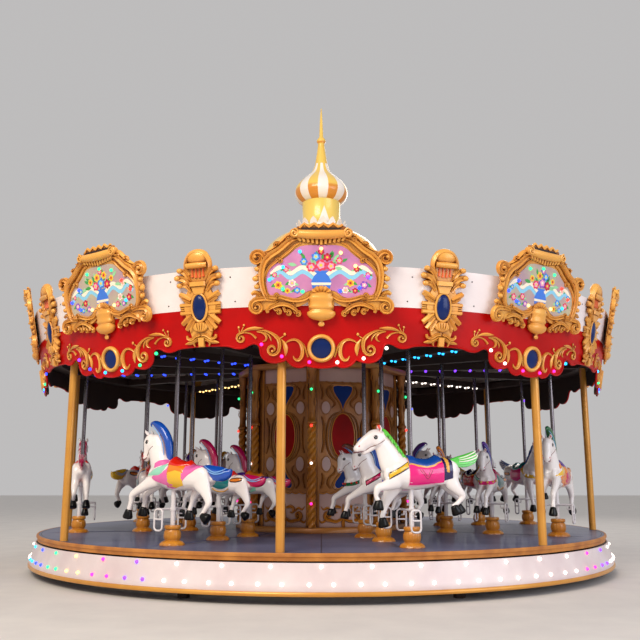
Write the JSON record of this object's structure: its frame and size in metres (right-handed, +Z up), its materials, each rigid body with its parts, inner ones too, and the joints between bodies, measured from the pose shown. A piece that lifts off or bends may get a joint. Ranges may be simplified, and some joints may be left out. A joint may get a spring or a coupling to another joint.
{
  "type": "fairground_carousel",
  "caption": "Fairground carousel with rising horses on a turning deck, a red and white canopy with gold ornament, and a striped onion dome.",
  "frame": {"origin": "on the ground at the turning axis, under the middle of the base hub", "axes": "+Z up the turning axis, -Y towards the front picture frame, +X to the right of it"},
  "size_m": [8.2192, 8.2822, 6.806],
  "materials": {
    "dark_steel": "matt dark paint",
    "skirt_gelcoat": "gloss gelcoat",
    "gold_paint": "satin gold paint",
    "deck_paint": "worn tread plate",
    "centre_panel": "gloss panel",
    "red_gelcoat": "gloss gelcoat",
    "white_gelcoat": "gloss gelcoat",
    "roof_skin": "satin gelcoat",
    "pale_gold": "satin paint",
    "horse_gelcoat": "gloss enamel"
  },
  "bodies": {
    "base": {"base_frame": "dark_steel", "skirt": "skirt_gelcoat", "skirt_trim": "gold_paint"},
    "turntable": {"turntable_frame": "dark_steel", "deck": "deck_paint", "deck_edge": "gold_paint", "post_1": "gold_paint", "post_2": "gold_paint", "post_3": "gold_paint", "post_4": "gold_paint", "post_5": "gold_paint", "post_6": "gold_paint", "post_7": "gold_paint", "post_8": "gold_paint", "centre_drum": "centre_panel", "centre_columns": "gold_paint", "canopy_frame": "dark_steel", "canopy_ring": "dark_steel", "valance": "red_gelcoat", "crown_board": "white_gelcoat", "cartouche_1": "gold_paint", "cartouche_2": "gold_paint", "cartouche_3": "gold_paint", "cartouche_4": "gold_paint", "cartouche_5": "gold_paint", "cartouche_6": "gold_paint", "cartouche_7": "gold_paint", "cartouche_8": "gold_paint", "cartouche_9": "gold_paint", "cartouche_10": "gold_paint", "roof": "roof_skin", "roof_dome": "pale_gold", "onion_dome": "pale_gold", "spire": "gold_paint"},
    "outer_horse_1": {"outer_horse_1": "horse_gelcoat"},
    "outer_horse_2": {"outer_horse_2": "horse_gelcoat"},
    "outer_horse_3": {"outer_horse_3": "horse_gelcoat"},
    "outer_horse_4": {"outer_horse_4": "horse_gelcoat"},
    "outer_horse_5": {"outer_horse_5": "horse_gelcoat"},
    "outer_horse_6": {"outer_horse_6": "horse_gelcoat"},
    "outer_horse_7": {"outer_horse_7": "horse_gelcoat"},
    "outer_horse_8": {"outer_horse_8": "horse_gelcoat"},
    "middle_horse_1": {"middle_horse_1": "horse_gelcoat"},
    "middle_horse_2": {"middle_horse_2": "horse_gelcoat"},
    "middle_horse_3": {"middle_horse_3": "horse_gelcoat"},
    "middle_horse_4": {"middle_horse_4": "horse_gelcoat"},
    "middle_horse_5": {"middle_horse_5": "horse_gelcoat"},
    "middle_horse_6": {"middle_horse_6": "horse_gelcoat"},
    "middle_horse_7": {"middle_horse_7": "horse_gelcoat"},
    "middle_horse_8": {"middle_horse_8": "horse_gelcoat"},
    "inner_horse_1": {"inner_horse_1": "horse_gelcoat"},
    "inner_horse_2": {"inner_horse_2": "horse_gelcoat"},
    "inner_horse_3": {"inner_horse_3": "horse_gelcoat"},
    "inner_horse_4": {"inner_horse_4": "horse_gelcoat"},
    "inner_horse_5": {"inner_horse_5": "horse_gelcoat"},
    "inner_horse_6": {"inner_horse_6": "horse_gelcoat"},
    "inner_horse_7": {"inner_horse_7": "horse_gelcoat"},
    "inner_horse_8": {"inner_horse_8": "horse_gelcoat"}
  },
  "joints": [
    {"name": "carousel_turn", "type": "hinge", "parent": "base", "child": "turntable", "pos_m": [0, 0, 0.36], "axis": [0, 0, 1], "continuous": true},
    {"name": "outer_lift_1", "type": "slide", "parent": "turntable", "child": "outer_horse_1", "axis": [0, 0, 1], "range_m": [-0.12, 0.12]},
    {"name": "middle_lift_1", "type": "slide", "parent": "turntable", "child": "middle_horse_1", "axis": [0, 0, 1], "range_m": [-0.12, 0.12]},
    {"name": "inner_lift_1", "type": "slide", "parent": "turntable", "child": "inner_horse_1", "axis": [0, 0, 1], "range_m": [-0.12, 0.12]},
    {"name": "outer_lift_2", "type": "slide", "parent": "turntable", "child": "outer_horse_2", "axis": [0, 0, 1], "range_m": [-0.12, 0.12]},
    {"name": "middle_lift_2", "type": "slide", "parent": "turntable", "child": "middle_horse_2", "axis": [0, 0, 1], "range_m": [-0.12, 0.12]},
    {"name": "inner_lift_2", "type": "slide", "parent": "turntable", "child": "inner_horse_2", "axis": [0, 0, 1], "range_m": [-0.12, 0.12]},
    {"name": "outer_lift_3", "type": "slide", "parent": "turntable", "child": "outer_horse_3", "axis": [0, 0, 1], "range_m": [-0.12, 0.12]},
    {"name": "middle_lift_3", "type": "slide", "parent": "turntable", "child": "middle_horse_3", "axis": [0, 0, 1], "range_m": [-0.12, 0.12]},
    {"name": "inner_lift_3", "type": "slide", "parent": "turntable", "child": "inner_horse_3", "axis": [0, 0, 1], "range_m": [-0.12, 0.12]},
    {"name": "outer_lift_4", "type": "slide", "parent": "turntable", "child": "outer_horse_4", "axis": [0, 0, 1], "range_m": [-0.12, 0.12]},
    {"name": "middle_lift_4", "type": "slide", "parent": "turntable", "child": "middle_horse_4", "axis": [0, 0, 1], "range_m": [-0.12, 0.12]},
    {"name": "inner_lift_4", "type": "slide", "parent": "turntable", "child": "inner_horse_4", "axis": [0, 0, 1], "range_m": [-0.12, 0.12]},
    {"name": "outer_lift_5", "type": "slide", "parent": "turntable", "child": "outer_horse_5", "axis": [0, 0, 1], "range_m": [-0.12, 0.12]},
    {"name": "middle_lift_5", "type": "slide", "parent": "turntable", "child": "middle_horse_5", "axis": [0, 0, 1], "range_m": [-0.12, 0.12]},
    {"name": "inner_lift_5", "type": "slide", "parent": "turntable", "child": "inner_horse_5", "axis": [0, 0, 1], "range_m": [-0.12, 0.12]},
    {"name": "outer_lift_6", "type": "slide", "parent": "turntable", "child": "outer_horse_6", "axis": [0, 0, 1], "range_m": [-0.12, 0.12]},
    {"name": "middle_lift_6", "type": "slide", "parent": "turntable", "child": "middle_horse_6", "axis": [0, 0, 1], "range_m": [-0.12, 0.12]},
    {"name": "inner_lift_6", "type": "slide", "parent": "turntable", "child": "inner_horse_6", "axis": [0, 0, 1], "range_m": [-0.12, 0.12]},
    {"name": "outer_lift_7", "type": "slide", "parent": "turntable", "child": "outer_horse_7", "axis": [0, 0, 1], "range_m": [-0.12, 0.12]},
    {"name": "middle_lift_7", "type": "slide", "parent": "turntable", "child": "middle_horse_7", "axis": [0, 0, 1], "range_m": [-0.12, 0.12]},
    {"name": "inner_lift_7", "type": "slide", "parent": "turntable", "child": "inner_horse_7", "axis": [0, 0, 1], "range_m": [-0.12, 0.12]},
    {"name": "outer_lift_8", "type": "slide", "parent": "turntable", "child": "outer_horse_8", "axis": [0, 0, 1], "range_m": [-0.12, 0.12]},
    {"name": "middle_lift_8", "type": "slide", "parent": "turntable", "child": "middle_horse_8", "axis": [0, 0, 1], "range_m": [-0.12, 0.12]},
    {"name": "inner_lift_8", "type": "slide", "parent": "turntable", "child": "inner_horse_8", "axis": [0, 0, 1], "range_m": [-0.12, 0.12]}
  ],
  "couplings": [
    {"joint": "middle_lift_1", "follows": "outer_lift_1", "ratio": -1},
    {"joint": "inner_lift_1", "follows": "outer_lift_1", "ratio": 1},
    {"joint": "middle_lift_2", "follows": "outer_lift_2", "ratio": -1},
    {"joint": "inner_lift_2", "follows": "outer_lift_2", "ratio": 1},
    {"joint": "middle_lift_3", "follows": "outer_lift_3", "ratio": -1},
    {"joint": "inner_lift_3", "follows": "outer_lift_3", "ratio": 1},
    {"joint": "middle_lift_4", "follows": "outer_lift_4", "ratio": -1},
    {"joint": "inner_lift_4", "follows": "outer_lift_4", "ratio": 1},
    {"joint": "middle_lift_5", "follows": "outer_lift_5", "ratio": -1},
    {"joint": "inner_lift_5", "follows": "outer_lift_5", "ratio": 1},
    {"joint": "middle_lift_6", "follows": "outer_lift_6", "ratio": -1},
    {"joint": "inner_lift_6", "follows": "outer_lift_6", "ratio": 1},
    {"joint": "middle_lift_7", "follows": "outer_lift_7", "ratio": -1},
    {"joint": "inner_lift_7", "follows": "outer_lift_7", "ratio": 1},
    {"joint": "middle_lift_8", "follows": "outer_lift_8", "ratio": -1},
    {"joint": "inner_lift_8", "follows": "outer_lift_8", "ratio": 1}
  ]
}
